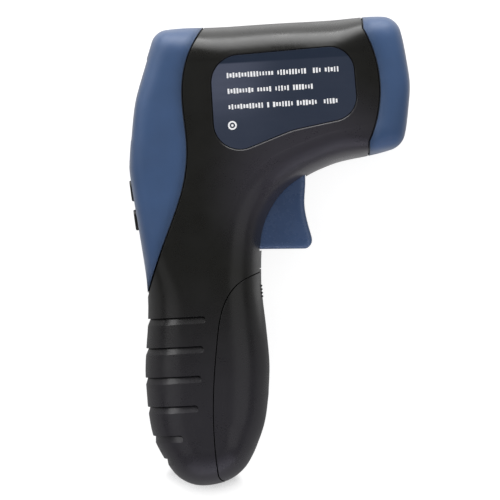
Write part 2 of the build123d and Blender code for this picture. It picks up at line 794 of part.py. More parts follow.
def lcd_glass():
    """Liquid-crystal glass."""
    return slab(display_plane(), glass_height, glass_width, -lcd_top(), -lcd_top() - glass_thick)


def lcd_frame():
    """Frame that holds the display glass on the main board."""
    face, top = display_plane(), -lcd_top()
    body = slab(face, glass_height + 3.2, glass_width + 3.6, top, -main_depth)
    seat = slab(face, glass_height + 0.1, glass_width + 0.1, top + 1, top - glass_thick)
    return body - [seat, slab(face, glass_height - 3, glass_width - 3, top, -main_depth - 1)]


def lcd_reflector():
    """White plate behind the display glass."""
    foot = -lcd_top() - glass_thick
    return slab(display_plane(), glass_height - 7, glass_width - 3.2, foot, foot - 1.0)


def contact_strips():
    """Rubber strips between the display glass and the main board."""
    foot = -lcd_top() - glass_thick
    place, width = glass_height / 2 - 2.4, glass_width - 5
    return Part() + [slab(display_plane(), 1.5, width, foot, -main_depth, up) for up in (-place, place)]


def main_board():
    """Board with the display and the processor."""
    board = slab(display_plane(), main_height, main_width, -main_depth, -main_depth - board_thick)
    bore = small_screw_radius + 0.15
    return board - [stud(display_plane(), bore, 0, -20, up, side) for up, side in main_posts()]


def board_back():
    """Depth of the inner side of the main board."""
    return main_depth + board_thick


def on_board(height, width, tall, up, side, corner=0.0):
    """Block on the inner side of the main board."""
    return slab(display_plane(), height, width, -board_back(), -board_back() - tall, up, side, corner)


def controller_chip():
    """Processor with leads on all four sides."""
    chip = on_board(10, 10, 1.6, 2, -2)
    for step in range(-4, 5):
        chip += on_board(0.4, 12.4, 0.5, 2 + step, -2)
        chip += on_board(12.4, 0.4, 0.5, 2, step - 2)
    return chip


def crystal():
    """Clock crystal in its can."""
    return on_board(4.4, 10.6, 3.4, -9, -4, 2.0)


def capacitor():
    """Upright capacitor on the main board."""
    can = stud(display_plane(), 3.0, -board_back(), -board_back() - 7.0, -8, 9)
    return fillet(can.edges().sort_by(Axis.X)[-1], 0.5)


def key(up):
    """One key with its flange under the rear cover."""
    cap = slab(key_plane(), key_height, key_width, key_proud, -key_pad - key_flange, up, 0, key_corner)
    top = cap.faces().sort_by(Axis.X)[0]
    foot = -key_pad - key_flange
    flange = slab(key_plane(), key_height + 2, key_width + 2, -key_pad, foot, up, 0, key_corner)
    return fillet(top.edges(), 0.35) + flange


def key_switches():
    """Two tactile switches under the keys."""
    foot = -key_depth()
    switches = Part()
    for up in key_places():
        switches += slab(key_plane(), 6, 6, foot + button_body, foot, up)
        switches += stud(key_plane(), 1.7, foot + button_body + button_cap, foot + 1, up, 0)
    return switches


def key_board():
    """Board under the keys."""
    foot = -key_depth()
    board = slab(key_plane(), key_board_height, key_board_width, foot, foot - board_thick)
    bore = small_screw_radius + 0.15
    return board - [stud(key_plane(), bore, 0, -20, up, side) for up, side in key_posts()]


# Fasteners

def small_screw(plane, depth, up, side):
    """Board screw whose head lies on the inner face of a board at a depth."""
    body = stud(plane, small_screw_radius, -depth + 4.0, -depth, up, side)
    return body + stud(plane, small_head_radius, -depth, -depth - small_head, up, side)


def board_screws():
    """Screws of all three boards."""
    screws = [small_screw(display_plane(), board_back(), up, side) for up, side in main_posts()]
    screws += [small_screw(key_plane(), key_depth() + board_thick, up, side) for up, side in key_posts()]
    back = housing_back() - board_thick
    for side in (-1, 1):
        head = sensor_post(side, small_head_radius, back - small_head, back)
        screws.append(sensor_post(side, small_screw_radius, back, back + 5) + head)
    return Part() + screws


def case_screws():
    """Screws that hold the shells together, with cross recesses."""
    seat = screw_seat - case_half
    top = seat - screw_head
    screws = []
    for x, y in SCREWS:
        screw = post(x, y, screw_radius, seat, seat + screw_length)
        screw += post(x, y, screw_head_radius, top, seat)
        screw -= block(x - 1.4, x + 1.4, y - 0.3, y + 0.3, top - 1, top + 1.1)
        screws.append(screw - block(x - 0.3, x + 0.3, y - 1.4, y + 1.4, top - 1, top + 1.1))
    return Part() + screws


def label_plate():
    """Printed plate in the recess of the right side."""
    return Pos(0, 0, case_half - label_sink) * extrude(label_outline(label_gap), label_thick)


def pieces():
    """Every piece by name."""
    outer, room = outer_form(), case_form(wall)
    half = shell_half(outer, room)
    upper, lower = key_places()
    return {
        "right_shell": right_shell(half),
        "left_shell": left_shell(half),
        "rear_cover": rear_cover(outer, room),
        "nose_cap": nose_cap(outer, room),
        "battery_door": battery_door(outer, room),
        "door_pin": door_pin(),
        "trigger": trigger(),
        "trigger_pin": trigger_pin(),
        "trigger_spring": trigger_spring(),
        "trigger_switch": trigger_switch(),
        "switch_plunger": switch_plunger(),
        "battery": battery(),
        "battery_snap": battery_snap(),
        "front_bezel": front_bezel(),
        "receiving_lens": receiving_lens(),
        "sensor_housing": sensor_housing(),
        "laser_module": laser_module(),
        "photodiode": photodiode(),
        "sensor_board": sensor_board(),
        "display_window": display_window(),
        "lcd_glass": lcd_glass(),
        "lcd_frame": lcd_frame(),
        "lcd_reflector": lcd_reflector(),
        "contact_strips": contact_strips(),
        "main_board": main_board(),
        "controller_chip": controller_chip(),
        "crystal": crystal(),
        "capacitor": capacitor(),
        "upper_key": key(upper),
        "lower_key": key(lower),
        "key_switches": key_switches(),
        "key_board": key_board(),
        "board_screws": board_screws(),
        "case_screws": case_screws(),
        "label_plate": label_plate(),
    }


os.makedirs("parts", exist_ok=True)
for name, piece in pieces().items():
    export_step(Pos(0, 0, case_half) * piece, f"parts/{name}.step")
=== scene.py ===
import logging
import math
from dataclasses import dataclass, field
from enum import Enum
from typing import Any

import bmesh
import bpy
from mathutils import Matrix, Vector


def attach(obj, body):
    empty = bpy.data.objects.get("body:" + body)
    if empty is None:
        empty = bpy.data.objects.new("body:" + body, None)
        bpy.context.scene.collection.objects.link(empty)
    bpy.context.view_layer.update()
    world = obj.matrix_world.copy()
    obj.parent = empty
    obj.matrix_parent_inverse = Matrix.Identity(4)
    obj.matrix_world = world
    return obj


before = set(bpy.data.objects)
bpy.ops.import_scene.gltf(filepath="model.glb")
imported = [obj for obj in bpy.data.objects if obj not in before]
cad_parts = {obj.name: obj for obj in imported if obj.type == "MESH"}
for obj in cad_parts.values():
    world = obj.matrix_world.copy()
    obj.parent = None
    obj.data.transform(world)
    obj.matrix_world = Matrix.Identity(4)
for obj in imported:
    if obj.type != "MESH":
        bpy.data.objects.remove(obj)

log = logging.getLogger("tachometer")

MM = 0.001
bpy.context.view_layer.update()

# Height of the plane between the two shells, in mm.
MIDDLE = 20.0

Colour = tuple[float, float, float]
Point = tuple[float, float, float]
Range = tuple[float, float]
Feeds = dict[Any, Any]
Socket = bpy.types.NodeSocket
Material = bpy.types.Material

WHITE: Colour = (1.0, 1.0, 1.0)
COOL: Colour = (0.95, 0.92, 1.15)
# Black that colours go to deep in gaps, as painted shade.
PAINTED_SHADE: Colour = (0.0, 0.0, 0.0)
EVEN: Point = (1.0, 1.0, 1.0)
FLAT: Point = (1.0, 1.0, 0.0)

# Part of a noise's range that holds most of its values.
NOISE_LOW, NOISE_HIGH = 0.3, 0.7

# Samples of the nodes that look round a point, and the results that count as rim or edge.
ROOM_SAMPLES = 12
EDGE_SAMPLES = 6
RIM_ROOM: Range = (0.78, 0.99)
EDGE_LIKENESS: Range = (0.72, 0.955)

# Numbers of the colour sockets of a Mix node and of the float sockets of a Random Value node.
MIX_SHARE, MIX_FIRST, MIX_SECOND, MIX_RESULT = 0, 6, 7, 2
DRAW_LOW, DRAW_HIGH, DRAW_RESULT = 2, 3, 1


@dataclass(frozen=True)
class Pattern:
    """Noise: size in mm, octaves, weight of the finer ones, range of values that counts, stretch."""

    size: float
    detail: float = 3.0
    rough: float = 0.55
    start: float = NOISE_LOW
    end: float = NOISE_HIGH
    stretch: Point = EVEN


class Grain(Enum):
    """Surface textures of moulded parts: pattern of the grain, depth in mm, share of the fine pits."""

    SPARKED = (Pattern(0.50, 4.0, 0.62, 0.35, 0.75), 0.0008, 0.40)
    SATIN = (Pattern(0.40, 4.0, 0.62, 0.35, 0.75), 0.0022, 0.35)
    SMOOTH = (Pattern(1.60, 4.0, 0.62, 0.35, 0.75), 0.0012, 0.15)


class Drawing(Enum):
    """Patterns of the lines on drawn or turned metal, by the direction that they follow."""

    ALONG_X = Pattern(0.16, 4.0, 0.65, stretch=(0.06, 1.0, 1.0))
    ALONG_Z = Pattern(0.16, 4.0, 0.65, stretch=(1.0, 1.0, 0.06))


class Tree:
    """Node tree put together by short calls that return nodes and sockets."""

    def __init__(self, tree: bpy.types.NodeTree) -> None:
        """Take up a tree.

        Args:
            tree: Tree that the nodes go into.
        """
        self.tree = tree
        self.nodes = tree.nodes
        self.links = tree.links

    def node(self, kind: str, feeds: Feeds | None = None, **settings: Any) -> bpy.types.Node:
        """Add a node.

        Args:
            kind: Blender's identifier of the node type.
            feeds: Values or sockets for its inputs, by name or index.
            **settings: Properties of the node.

        Returns:
            The new node.
        """
        made = self.nodes.new(kind)
        for key, value in settings.items():
            setattr(made, key, value)
        for key, value in (feeds or {}).items():
            self.feed(made.inputs[key], value)
        return made

    def result(self, kind: str, feeds: Feeds | None = None, out: Any = 0, **settings: Any) -> Socket:
        """Add a node and return one of its outputs, by name or index."""
        return self.node(kind, feeds, **settings).outputs[out]

    def feed(self, socket: Socket, value: Any) -> None:
        """Link a socket or set its constant.

        Args:
            socket: Input to fill.
            value: Another socket, a number or a colour.
        """
        if isinstance(value, bpy.types.NodeSocket):
            self.links.new(value, socket)
        elif isinstance(value, tuple) and socket.type == "RGBA":
            socket.default_value = (*value, 1.0)
        else:
            socket.default_value = value

    def maths(self, operation: str, *values: Any) -> Socket:
        """Chain an arithmetic operation over two or more values.

        Args:
            operation: Blender's name of the operation.
            *values: Values or sockets, taken from left to right.

        Returns:
            The value socket.
        """
        total = values[0]
        for value in values[1:]:
            total = self.result("ShaderNodeMath", {0: total, 1: value}, operation=operation)
        return total

    def times(self, *values: Any) -> Socket:
        """Product of the values."""
        return self.maths("MULTIPLY", *values)

    def larger(self, *values: Any) -> Socket:
        """Largest of the values."""
        return self.maths("MAXIMUM", *values)


class Shade(Tree):
    """Node tree of one material, with a principled shader at its end."""

    def __init__(self, name: str) -> None:
        """Start a plain material.

        Args:
            name: Name of the material.
        """
        self.material = bpy.data.materials.new(name)
        self.material.use_nodes = True
        super().__init__(self.material.node_tree)
        self.nodes.clear()
        self.output = self.node("ShaderNodeOutputMaterial")
        self.shader = self.node("ShaderNodeBsdfPrincipled")
        self.feed(self.output.inputs["Surface"], self.shader.outputs["BSDF"])

    def set(self, **values: Any) -> None:
        """Fill the shader's inputs; underscores in a name stand for spaces."""
        for key, value in values.items():
            self.feed(self.shader.inputs[key.replace("_", " ")], value)

    def place(self, stretch: Point = EVEN) -> Socket:
        """Object coordinates in metres, stretched along the axes."""
        coords = self.result("ShaderNodeTexCoord", out="Object")
        return self.result("ShaderNodeMapping", {0: coords, "Scale": stretch})

    def noise(self, pattern: Pattern) -> Socket:
        """Noise value between 0 and 1."""
        feeds = {"Scale": 1.0 / (pattern.size * MM), "Detail": pattern.detail, "Roughness": pattern.rough}
        return self.result("ShaderNodeTexNoise", feeds | {"Vector": self.place(pattern.stretch)})

    def cells(self, size: float, feature: str = "F1") -> Socket:
        """Distance value of a pattern of cells, which have a size in mm."""
        feeds = {"Vector": self.place(), "Scale": 1.0 / (size * MM)}
        return self.result("ShaderNodeTexVoronoi", feeds, "Distance", feature=feature)

    def span(
        self, value: Socket, low: float, high: float, start: float = NOISE_LOW, end: float = NOISE_HIGH
    ) -> Socket:
        """Map a value from the range of start and end onto low and high, clamped and with soft ends."""
        feeds = {"Value": value, "From Min": start, "From Max": end, "To Min": low, "To Max": high}
        return self.result("ShaderNodeMapRange", feeds, interpolation_type="SMOOTHSTEP")

    def cloud(self, pattern: Pattern, low: float = 0.0, high: float = 1.0) -> Socket:
        """Value that drifts from low to high over the range of a noise pattern."""
        return self.span(self.noise(pattern), low, high, pattern.start, pattern.end)

    def ramp(self, axis: str, low: float, high: float, start: float, end: float) -> Socket:
        """Value that goes from low to high between two places on an axis, given in mm."""
        along = self.result("ShaderNodeSeparateXYZ", {0: self.place()}, axis)
        return self.span(along, low, high, start * MM, end * MM)

    def near(self, centre: Point, inner: float, outer: float) -> Socket:
        """Value that is 1 round an upright line and falls to 0 away from it.

        Args:
            centre: Foot of the line on the floor, in mm.
            inner: Distance in mm up to which the value is 1.
            outer: Distance in mm from which it is 0.

        Returns:
            The value socket.
        """
        feeds = {0: self.place(FLAT), 1: tuple(value * MM for value in centre)}
        away = self.result("ShaderNodeVectorMath", feeds, "Value", operation="DISTANCE")
        return self.span(away, 1.0, 0.0, inner * MM, outer * MM)

    def room(self, reach: float, inside: bool = False) -> Socket:
        """Share of room that is free within a reach in mm, before the surface or inside the piece."""
        feeds = {"Distance": reach * MM}
        return self.result("ShaderNodeAmbientOcclusion", feeds, "AO", samples=ROOM_SAMPLES, inside=inside)

    def open_share(self, reach: float, ends: Range) -> Socket:
        """Value from 0 deep in a gap to 1 where the surface is open; the ends are its shares of room."""
        return self.span(self.room(reach), 0.0, 1.0, *ends)

    def rim_share(self, reach: float) -> Socket:
        """Value that is 1 at the rim of a thick piece and falls to 0 inwards within a reach in mm."""
        return self.span(self.room(reach, inside=True), 1.0, 0.0, *RIM_ROOM)

    def mix(self, share: Any, first: Any, second: Any) -> Socket:
        """Mix two colours; the share is the weight of the second."""
        feeds = {MIX_SHARE: share, MIX_FIRST: first, MIX_SECOND: second}
        return self.result("ShaderNodeMix", feeds, MIX_RESULT, data_type="RGBA")

    def edges(self, radius: float) -> tuple[Socket, Socket]:
        """Normal rounded over the edges, and a mask of the edges.

        Args:
            radius: Radius of the rounding in mm.

        Returns:
            The normal socket and the mask socket.
        """
        rounded = self.result("ShaderNodeBevel", {"Radius": radius * MM}, samples=EDGE_SAMPLES)
        normal = self.result("ShaderNodeNewGeometry", out="Normal")
        feeds = {0: rounded, 1: normal}
        likeness = self.result("ShaderNodeVectorMath", feeds, "Value", operation="DOT_PRODUCT")
        return rounded, self.span(likeness, 1.0, 0.0, *EDGE_LIKENESS)

    def bump(self, height: Socket, depth: float, normal: Socket | None = None) -> Socket:
        """Normal bent by a height.

        Args:
            height: Value of the height.
            depth: Depth in mm at value 1.
            normal: Normal to start from.

        Returns:
            The normal socket.
        """
        feeds = {"Height": height, "Distance": depth * MM}
        if normal is not None:
            feeds["Normal"] = normal
        return self.result("ShaderNodeBump", feeds)


@dataclass(frozen=True)
class Finish:
    """Look of one kind of material."""

    name: str

    def material(self) -> Material:
        """Build the material.

        Returns:
            The material.
        """
        shade = Shade(self.name)
        self.paint(shade)
        return shade.material

    def paint(self, shade: Shade) -> None:
        """Paint the finish into an empty material; each kind does it in its own way."""
        raise NotImplementedError


@dataclass(frozen=True)
class PaintedLight:
    """Painted light on the plastic: a paler tone round one place and towards the foot of the object, where
    soft fill light falls.
    """

    colour: Colour
    place: Point = (15.0, 22.0, 0.0)
    inner: float = 14.0
    outer: float = 42.0
    start: float = 0.0
    foot: float = -60.0
    foot_share: float = 0.62

    def share(self, shade: Shade) -> Socket:
        """Weight of the painted light in a material."""
        near = shade.near(self.place, self.inner, self.outer)
        return shade.larger(near, shade.ramp("Y", self.foot_share, 0.0, self.foot, self.start))


@dataclass(frozen=True)
class MouldedPlastic(Finish):
    """Injection-moulded plastic: grain, broad mottling, edges paled by use and on some pieces by a painted
    highlight, painted shade in gaps, painted light where given, and handled, uneven gloss.
    """

    colour: Colour
    grain: Grain
    roughness: float
    gloss_change: float = 0.07
    mottle: float = 0.10
    paler_colour: Colour = (0.09, 0.09, 0.09)
    edge_paling: float = 0.20
    least_paling: float = 0.35
    edge: float = 0.22
    speckle: float = 0.05
    shine: float = 0.5
    gap_shine: float = 0.1
    edge_shine: float = 1.0
    sheen: float = 0.0
    sheen_roughness: float = 0.4
    rim: float = 0.0
    gap: float = 1.0
    gap_room: Range = (0.20, 0.80)
    shine_room: Range = (0.0, 0.8)
    pit_size: float = 0.55
    handling: float = 0.6
    pale_tone: PaintedLight | None = None
    broad: Pattern = Pattern(26.0, 4.0)
    scuffs: Pattern = Pattern(3.2, 5.0, 0.7, 0.35, 0.65)
    handled: Pattern = Pattern(9.0)

    def tinted(self, shade: Shade, fine: Socket) -> Socket:
        """Colour of the plastic with its mottling, its painted light and the paler tips of the grain.

        Args:
            shade: Material to build it in.
            fine: Noise of the grain.

        Returns:
            The colour socket.
        """
        pattern = self.grain.value[0]
        dark = tuple(c * (1 - self.mottle) for c in self.colour)
        light = tuple(c * (1 + self.mottle) for c in self.colour)
        colour = shade.mix(shade.cloud(self.broad), dark, light)
        if self.pale_tone:
            colour = shade.mix(self.pale_tone.share(shade), colour, self.pale_tone.colour)
        tips = shade.span(fine, 0.0, self.speckle, pattern.start, pattern.end)
        return shade.mix(tips, colour, self.paler_colour)

    def paler_share(self, shade: Shade, edge: Socket) -> Socket:
        """Share of the paler colour: along the edges from use, which over a broad edge mask is also a
        painted highlight, and round the rim of a hollow piece as a painted highlight.

        Args:
            shade: Material to build it in.
            edge: Mask of the edges.

        Returns:
            The value socket.
        """
        share = shade.times(edge, shade.cloud(self.scuffs, self.least_paling, 1.0), self.edge_paling)
        if self.rim:
            share = shade.larger(share, shade.times(shade.rim_share(self.rim), self.edge_paling))
        return share

    def paint(self, shade: Shade) -> None:
        """Paint the finish.

        Args:
            shade: Its empty material.
        """
        pattern, depth, pit_share = self.grain.value
        fine = shade.noise(pattern)
        normal, edge = shade.edges(self.edge)
        # Painted shade: where little room is open within the gap reach, in seams, grooves and recesses, the
        # colour goes to black and the shine drops.
        unshaded = shade.open_share(self.gap, self.gap_room)
        colour = shade.mix(self.paler_share(shade, edge), self.tinted(shade, fine), self.paler_colour)
        shade.set(Base_Color=shade.mix(unshaded, PAINTED_SHADE, colour))
        shine = shade.span(unshaded, self.gap_shine * self.shine, self.shine, *self.shine_room)
        shade.set(Specular_IOR_Level=shade.times(shine, shade.span(edge, 1.0, self.edge_shine)))
        shade.set(Sheen_Weight=self.sheen, Sheen_Roughness=self.sheen_roughness)
        handled = shade.times(shade.noise(self.handled), self.handling)
        gloss = shade.maths("ADD", handled, shade.times(fine, 1.0 - self.handling))
        low, high = self.roughness - self.gloss_change, self.roughness + self.gloss_change
        shade.set(Roughness=shade.span(gloss, low, high))
        pits = shade.times(shade.cells(pattern.size * self.pit_size), pit_share)
        shade.set(Normal=shade.bump(shade.maths("ADD", fine, pits), depth, normal))


@dataclass(frozen=True)
class FilmPlate(Finish):
    """Screen-printed film: a deep field under a painted reflection, paler to the left and upwards, below a
    darker top band.
    """

    deep: Colour
    pale: Colour
    paler_colour: Colour = (0.16, 0.17, 0.20)
    band_foot: float = 64.2
    band_blur: float = 0.7
    left: float = -12.0
    right: float = 7.0
    foot: float = 42.0
    head: float = 57.0
    foot_share: float = 0.15
    least: float = 0.22
    streak_share: float = 0.88
    edge_paling: float = 0.2
    edge: float = 0.12
    edge_shine: Range = (0.5, 0.1)
    gap: float = 0.5
    gap_room: Range = (0.25, 0.92)
    gloss: Range = (0.17, 0.25)
    tooth_depth: float = 0.0008
    streaks: Pattern = Pattern(2.4, 4.0, 0.6, stretch=(0.12, 1.0, 1.0))
    wiped: Pattern = Pattern(7.0, 4.0, 0.65)
    tooth: Pattern = Pattern(0.5, 2.0)

    def paint(self, shade: Shade) -> None:
        """Paint the finish.

        Args:
            shade: Its empty material.
        """
        normal, edge = shade.edges(self.edge)
        # Painted reflection: the pale colour grows towards the left end and upwards, and gives way to the
        # deep colour in a band along the top.
        aside = shade.ramp("X", 1.0, 0.0, self.left, self.right)
        above = shade.ramp("Y", self.foot_share, 1.0, self.foot, self.head)
        painted_reflection = shade.maths("ADD", self.least, shade.times(aside, above, 1.0 - self.least))
        under = shade.ramp("Y", 1.0, 0.0, self.band_foot, self.band_foot + self.band_blur)
        share = shade.times(painted_reflection, under, shade.cloud(self.streaks, self.streak_share, 1.0))
        colour = shade.mix(share, self.deep, self.pale)
        colour = shade.mix(shade.times(edge, self.edge_paling), colour, self.paler_colour)
        # Painted shade: the film goes to black where its recess closes in round it.
        shade.set(Base_Color=shade.mix(shade.open_share(self.gap, self.gap_room), PAINTED_SHADE, colour))
        shade.set(Specular_IOR_Level=shade.span(edge, *self.edge_shine))
        shade.set(Roughness=shade.cloud(self.wiped, *self.gloss))
        shade.set(Normal=shade.bump(shade.noise(self.tooth), self.tooth_depth, normal))


@dataclass(frozen=True)
class Ink(Finish):
    """Opaque printing ink with a slightly broken surface."""

    colour: Colour
    faint: Colour
    gloss: Range = (0.38, 0.58)
    tooth_depth: float = 0.002
    breaks: Pattern = Pattern(0.45, 4.0, 0.7, 0.42, 0.60)
    patches: Pattern = Pattern(1.2)
    tooth: Pattern = Pattern(0.25, 2.0)

    def paint(self, shade: Shade) -> None:
        """Paint the finish.

        Args:
            shade: Its empty material.
        """
        shade.set(Base_Color=shade.mix(shade.cloud(self.breaks), self.faint, self.colour))
        shade.set(Roughness=shade.cloud(self.patches, *self.gloss))
        shade.set(Normal=shade.bump(shade.noise(self.tooth), self.tooth_depth))


@dataclass(frozen=True)
class ClearPane(Finish):
    """Clear moulded pane or ground lens with faint haze and wiping marks."""

    tint: Colour
    ior: float
    gloss: Range
    hazy: Colour = (0.80, 0.84, 0.86)
    haze: float = 0.2
    wave_depth: float = 0.0015
    film: Pattern = Pattern(12.0)
    marks: Pattern = Pattern(1.6, 5.0, 0.7, stretch=(1.0, 0.2, 1.0))
    waves: Pattern = Pattern(5.0, 2.0)

    def paint(self, shade: Shade) -> None:
        """Paint the finish.

        Args:
            shade: Its empty material.
        """
        shade.set(Base_Color=shade.mix(shade.cloud(self.film, 0.0, self.haze), self.tint, self.hazy))
        shade.set(Transmission_Weight=1.0, IOR=self.ior)
        shade.set(Roughness=shade.cloud(self.marks, *self.gloss))
        shade.set(Normal=shade.bump(shade.noise(self.waves), self.wave_depth))


@dataclass(frozen=True)
class DrawnMetal(Finish):
    """Bare or plated metal with drawing lines, tarnish and uneven polish."""

    colour: Colour
    tarnish: Colour
    gloss: Range
    lines: Drawing
    stained: float = 0.75
    polish: float = 1.15
    edge: float = 0.10
    line_depth: float = 0.0025
    stains: Pattern = Pattern(2.8, 4.0, 0.6, 0.45, 0.70)

    def paint(self, shade: Shade) -> None:
        """Paint the finish.

        Args:
            shade: Its empty material.
        """
        drawn = shade.noise(self.lines.value)
        normal, edge = shade.edges(self.edge)
        colour = shade.mix(shade.cloud(self.stains, 0.0, self.stained), self.colour, self.tarnish)
        bright = tuple(min(1.0, c * self.polish) for c in self.colour)
        shade.set(Base_Color=shade.mix(edge, colour, bright), Metallic=1.0)
        shade.set(Roughness=shade.span(drawn, *self.gloss))
        shade.set(Normal=shade.bump(drawn, self.line_depth, normal))


@dataclass(frozen=True)
class Laminate(Finish):
    """Circuit board: green mask over copper runs, which show as a paler raised net."""

    mask: Colour
    run: Colour
    net_size: float = 3.4
    run_edge: Range = (0.09, 0.14)
    run_height: float = 0.035
    weave_height: float = 0.006
    weave_share: float = 0.25
    weave_shadow: float = 0.6
    edge: float = 0.08
    gloss: Range = (0.26, 0.40)
    fabric: Pattern = Pattern(0.45, stretch=(1.0, 1.0, 0.25))

    def paint(self, shade: Shade) -> None:
        """Paint the finish.

        Args:
            shade: Its empty material.
        """
        runs = shade.span(shade.cells(self.net_size, "DISTANCE_TO_EDGE"), 1.0, 0.0, *self.run_edge)
        weave = shade.noise(self.fabric)
        shadow = tuple(c * self.weave_shadow for c in self.mask)
        colour = shade.mix(shade.span(weave, 0.0, self.weave_share), self.mask, shadow)
        shade.set(Base_Color=shade.mix(runs, colour, self.run))
        shade.set(Roughness=shade.span(weave, *self.gloss))
        raised = shade.times(runs, self.run_height)
        height = shade.maths("ADD", raised, shade.times(weave, self.weave_height))
        shade.set(Normal=shade.bump(height, 1.0, shade.edges(self.edge)[0]))


@dataclass(frozen=True)
class DisplayGlass(Finish):
    """Liquid-crystal glass: a grey-green, slightly cloudy field with dust on it."""

    field_colour: Colour
    cloudy: Colour
    dusty: Colour = (0.75, 0.75, 0.72)
    cloud_share: float = 0.35
    dust_share: float = 0.25
    edge: float = 0.10
    gloss: Range = (0.10, 0.22)
    wave_depth: float = 0.002
    clouds: Pattern = Pattern(14.0, 2.0)
    dust: Pattern = Pattern(0.35, 2.0, 0.4, 0.66, 0.78)
    patches: Pattern = Pattern(4.0)
    waves: Pattern = Pattern(9.0, 1.0)

    def paint(self, shade: Shade) -> None:
        """Paint the finish.

        Args:
            shade: Its empty material.
        """
        clouded = shade.cloud(self.clouds, 0.0, self.cloud_share)
        colour = shade.mix(clouded, self.field_colour, self.cloudy)
        shade.set(Base_Color=shade.mix(shade.cloud(self.dust, 0.0, self.dust_share), colour, self.dusty))
        shade.set(Roughness=shade.cloud(self.patches, *self.gloss))
        shade.set(Normal=shade.bump(shade.noise(self.waves), self.wave_depth, shade.edges(self.edge)[0]))


@dataclass(frozen=True)
class BatterySleeve(Finish):
    """Printed sleeve of the battery: a dark field with one bright band, scuffed and paled along its edges.
    """

    field_colour: Colour
    band: Colour
    band_top: float
    band_foot: float
    band_blur: float = 0.15
    paler_colour: Colour = (0.45, 0.44, 0.42)
    scuffed: float = 0.05
    edge_paling: float = 0.25
    edge: float = 0.3
    gloss: Range = (0.24, 0.40)
    dent_depth: float = 0.004
    scuffs: Pattern = Pattern(1.8, 5.0, 0.7, 0.52, 0.72)
    patches: Pattern = Pattern(5.0)
    dents: Pattern = Pattern(2.2)

    def paint(self, shade: Shade) -> None:
        """Paint the finish.

        Args:
            shade: Its empty material.
        """
        over = shade.ramp("Y", 0.0, 1.0, self.band_foot, self.band_foot + self.band_blur)
        under = shade.ramp("Y", 1.0, 0.0, self.band_top, self.band_top + self.band_blur)
        colour = shade.mix(shade.times(over, under), self.field_colour, self.band)
        normal, edge = shade.edges(self.edge)
        scuffs = shade.cloud(self.scuffs, 0.0, self.scuffed)
        paler_share = shade.larger(scuffs, shade.times(edge, self.edge_paling))
        shade.set(Base_Color=shade.mix(paler_share, colour, self.paler_colour))
        shade.set(Roughness=shade.cloud(self.patches, *self.gloss))
        shade.set(Normal=shade.bump(shade.noise(self.dents), self.dent_depth, normal))


@dataclass(frozen=True)
class Elastomer(Finish):
    """Rubber whose surface blooms: a pale film that gathers unevenly, and moulding pits."""

    colour: Colour
    pale_tone: Colour
    bloomed: float = 0.5
    edge: float = 0.15
    gloss: Range = (0.62, 0.80)
    pit_size: float = 0.22
    pit_depth: float = 0.006
    film: Pattern = Pattern(2.0, 5.0, 0.7, 0.40, 0.75)

    def paint(self, shade: Shade) -> None:
        """Paint the finish.

        Args:
            shade: Its empty material.
        """
        film = shade.cloud(self.film, 0.0, self.bloomed)
        shade.set(Base_Color=shade.mix(film, self.colour, self.pale_tone))
        shade.set(Roughness=shade.span(film, *self.gloss, 0.0, self.bloomed))
        shade.set(Normal=shade.bump(shade.cells(self.pit_size), self.pit_depth, shade.edges(self.edge)[0]))


class Repeat(Tree):
    """Geometry Nodes tree with named inputs, evaluated once into a plain mesh."""

    def __init__(self, name: str) -> None:
        """Start an empty tree.

        Args:
            name: Name of the tree.
        """
        super().__init__(bpy.data.node_groups.new(name, "GeometryNodeTree"))
        self.tree.interface.new_socket("Geometry", in_out="OUTPUT", socket_type="NodeSocketGeometry")
        self.entry = self.node("NodeGroupInput")
        self.values: dict[str, Any] = {}

    def take(self, name: str, kind: str, value: Any) -> Socket:
        """Add a named input.

        Args:
            name: Name of the input.
            kind: Type of its socket, without the common prefix.
            value: Value that this piece gives it.

        Returns:
            The socket inside the tree.
        """
        item = self.tree.interface.new_socket(name, in_out="INPUT", socket_type="NodeSocket" + kind)
        self.values[item.identifier] = value
        return self.entry.outputs[name]

    def lengths(self, **sizes: float) -> list[Socket]:
        """Add named inputs for lengths given in mm."""
        return [self.take(name, "Float", size * MM) for name, size in sizes.items()]

    def shape(self, kind: str, out: Any = 0, **feeds: Any) -> Socket:
        """Add a geometry node and return an output; underscores in an input's name stand for spaces."""
        named = {key.replace("_", " "): value for key, value in feeds.items()}
        return self.result("GeometryNode" + kind, named, out)

    def vector(self, x: Any = 0.0, y: Any = 0.0, z: Any = 0.0) -> Socket:
        """Vector socket from three values or sockets."""
        return self.result("ShaderNodeCombineXYZ", {0: x, 1: y, 2: z})

    def chance(self, low: float, high: float, seed: Any) -> Socket:
        """Random value for each point, the same in each run."""
        feeds = {DRAW_LOW: low, DRAW_HIGH: high, "Seed": seed}
        return self.result("FunctionNodeRandomValue", feeds, DRAW_RESULT, data_type="FLOAT")

    def mesh(self, shape: Socket, finish: Material) -> bpy.types.Mesh:
        """Realize the instances, set the material and evaluate the tree.

        Args:
            shape: Geometry that the tree has made.
            finish: Material of the piece.

        Returns:
            The plain mesh.
        """
        solid = self.shape("RealizeInstances", Geometry=shape)
        material = self.take("Material", "Material", finish)
        self.node("NodeGroupOutput", {0: self.shape("SetMaterial", Geometry=solid, Material=material)})
        carrier = bpy.data.objects.new(self.tree.name, bpy.data.meshes.new(self.tree.name))
        bpy.context.scene.collection.objects.link(carrier)
        modifier = carrier.modifiers.new("repeat", "NODES")
        modifier.node_group = self.tree
        for identifier, value in self.values.items():
            modifier[identifier] = value
        graph = bpy.context.evaluated_depsgraph_get()
        mesh = bpy.data.meshes.new_from_object(carrier.evaluated_get(graph), depsgraph=graph)
        bpy.data.objects.remove(carrier)
        return mesh


